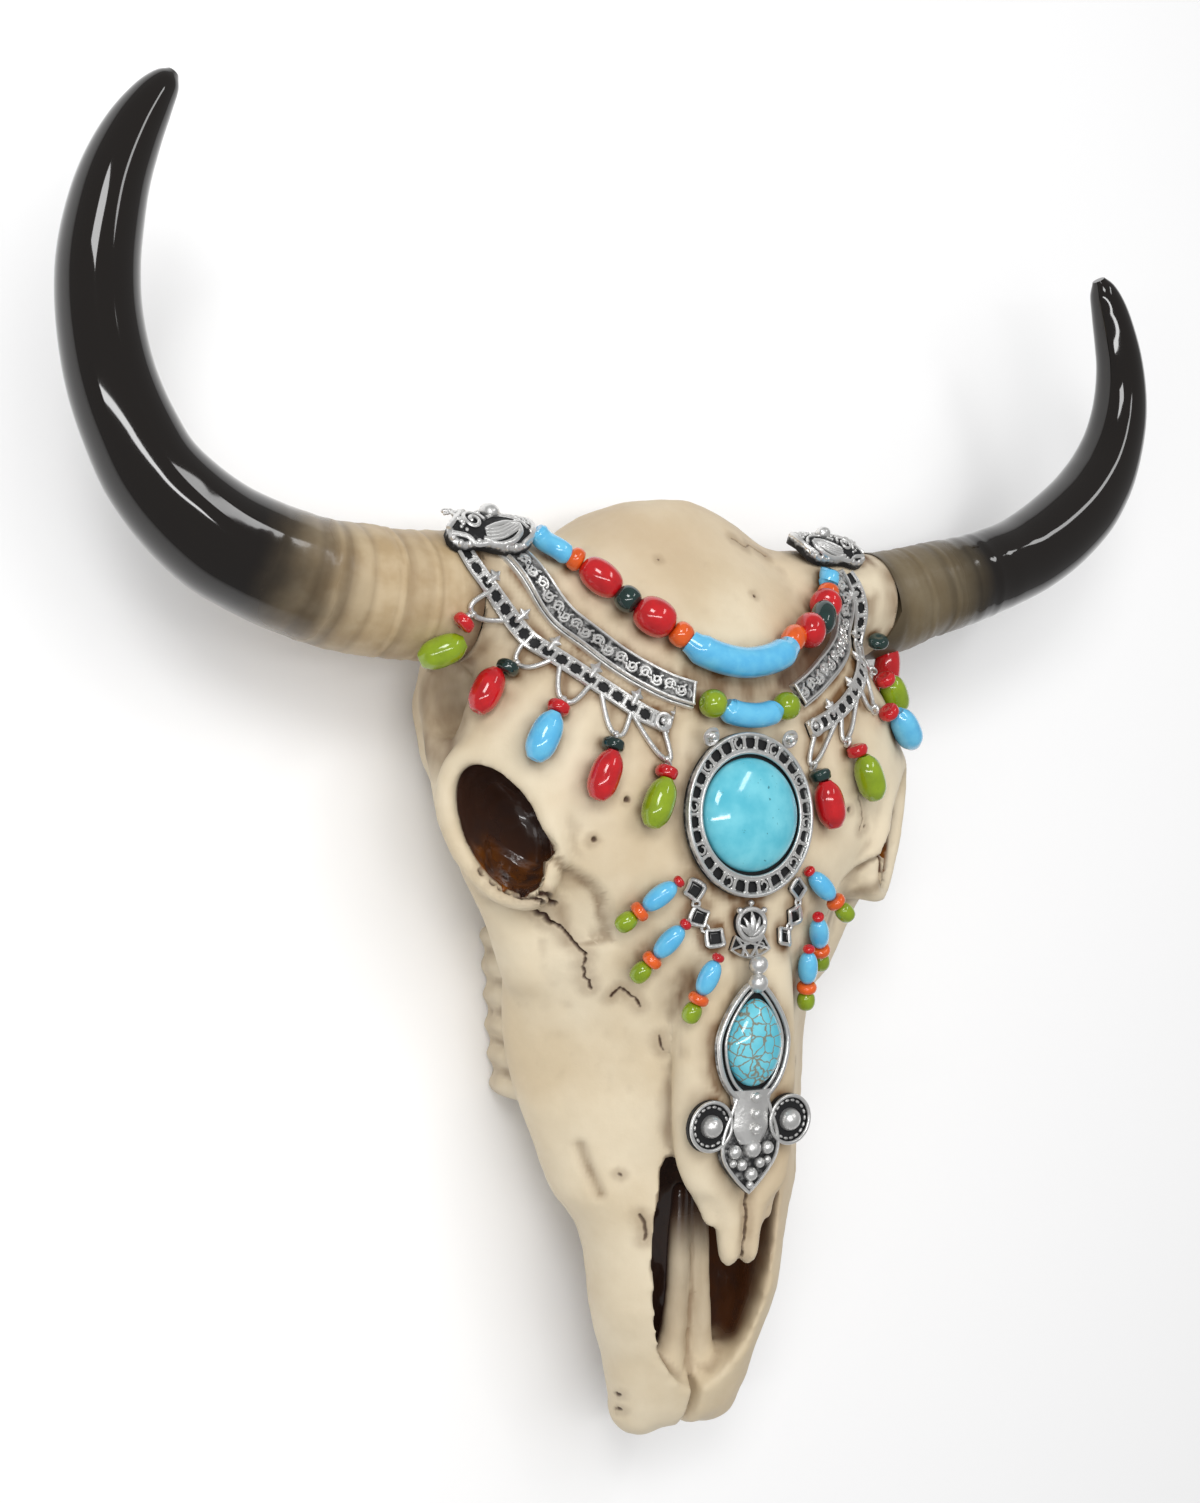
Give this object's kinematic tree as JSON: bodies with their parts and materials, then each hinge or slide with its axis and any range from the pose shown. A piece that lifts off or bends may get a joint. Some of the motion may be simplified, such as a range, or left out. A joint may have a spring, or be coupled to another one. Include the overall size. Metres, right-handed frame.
{
  "type": "decorated cow skull",
  "caption": "Cow skull with black horns, dressed with antique-silver bands, an oval stone medallion, a teardrop pendant and strands of coloured beads.",
  "frame": {"origin": "on the flat underside of the skull's base, under the centre of the oval medallion", "axes": "+X across the horns, +Y from the muzzle to the crown, +Z out of the face; the skull lies on its back on z = 0"},
  "size_m": [0.3529, 0.3507, 0.0835],
  "materials": {
    "bone": "cream bone, washed brown in its recesses and cracks",
    "horn": "glossy black, tan growth rings near the root",
    "silver": "antique silver, bright on its edges and black in its recesses",
    "turquoise": "polished, mottled, with brown veins",
    "blue_bead": "polished",
    "red_bead": "polished",
    "dark_green_bead": "polished",
    "orange_bead": "polished",
    "lime_bead": "polished"
  },
  "bodies": {
    "root": {"skull": "bone", "horn_left": "horn", "horn_right": "horn", "clasp_left": "silver", "clasp_right": "silver", "bar_left": "silver", "bar_right": "silver", "band_left": "silver", "band_right": "silver", "link_strip_left": "silver", "link_strip_right": "silver", "medallion_frame": "silver", "pendant_frame": "silver", "lotus_link": "silver", "v_link": "silver", "cabochon": "turquoise", "teardrop_stone": "turquoise", "strand_tube_left": "blue_bead", "strand_tube_centre": "blue_bead", "strand_tube_right": "blue_bead", "second_tube": "blue_bead", "strand_orange_left_outer": "orange_bead", "strand_orange_left_inner": "orange_bead", "strand_orange_right_inner": "orange_bead", "strand_orange_right_outer": "orange_bead", "strand_red_left": "red_bead", "strand_red_right": "red_bead", "strand_round_left": "red_bead", "strand_round_right": "red_bead", "strand_dark_left": "dark_green_bead", "strand_dark_right": "dark_green_bead", "second_green_left": "lime_bead", "second_green_right": "lime_bead", "cap_left_1": "red_bead", "cap_left_2": "dark_green_bead", "cap_left_3": "red_bead", "cap_left_4": "dark_green_bead", "cap_left_5": "red_bead", "cap_right_1": "dark_green_bead", "cap_right_2": "red_bead", "cap_right_3": "red_bead", "cap_right_4": "red_bead", "cap_right_5": "dark_green_bead", "dangle_left_1": "lime_bead", "dangle_left_2": "red_bead", "dangle_left_3": "blue_bead", "dangle_left_4": "red_bead", "dangle_left_5": "lime_bead", "dangle_right_1": "red_bead", "dangle_right_2": "lime_bead", "dangle_right_3": "blue_bead", "dangle_right_4": "lime_bead", "dangle_right_5": "red_bead", "drop_left_a": "blue_bead", "drop_left_b": "blue_bead", "drop_left_c": "blue_bead", "drop_right_a": "blue_bead", "drop_right_b": "blue_bead", "drop_right_c": "blue_bead"}
  },
  "joints": []
}
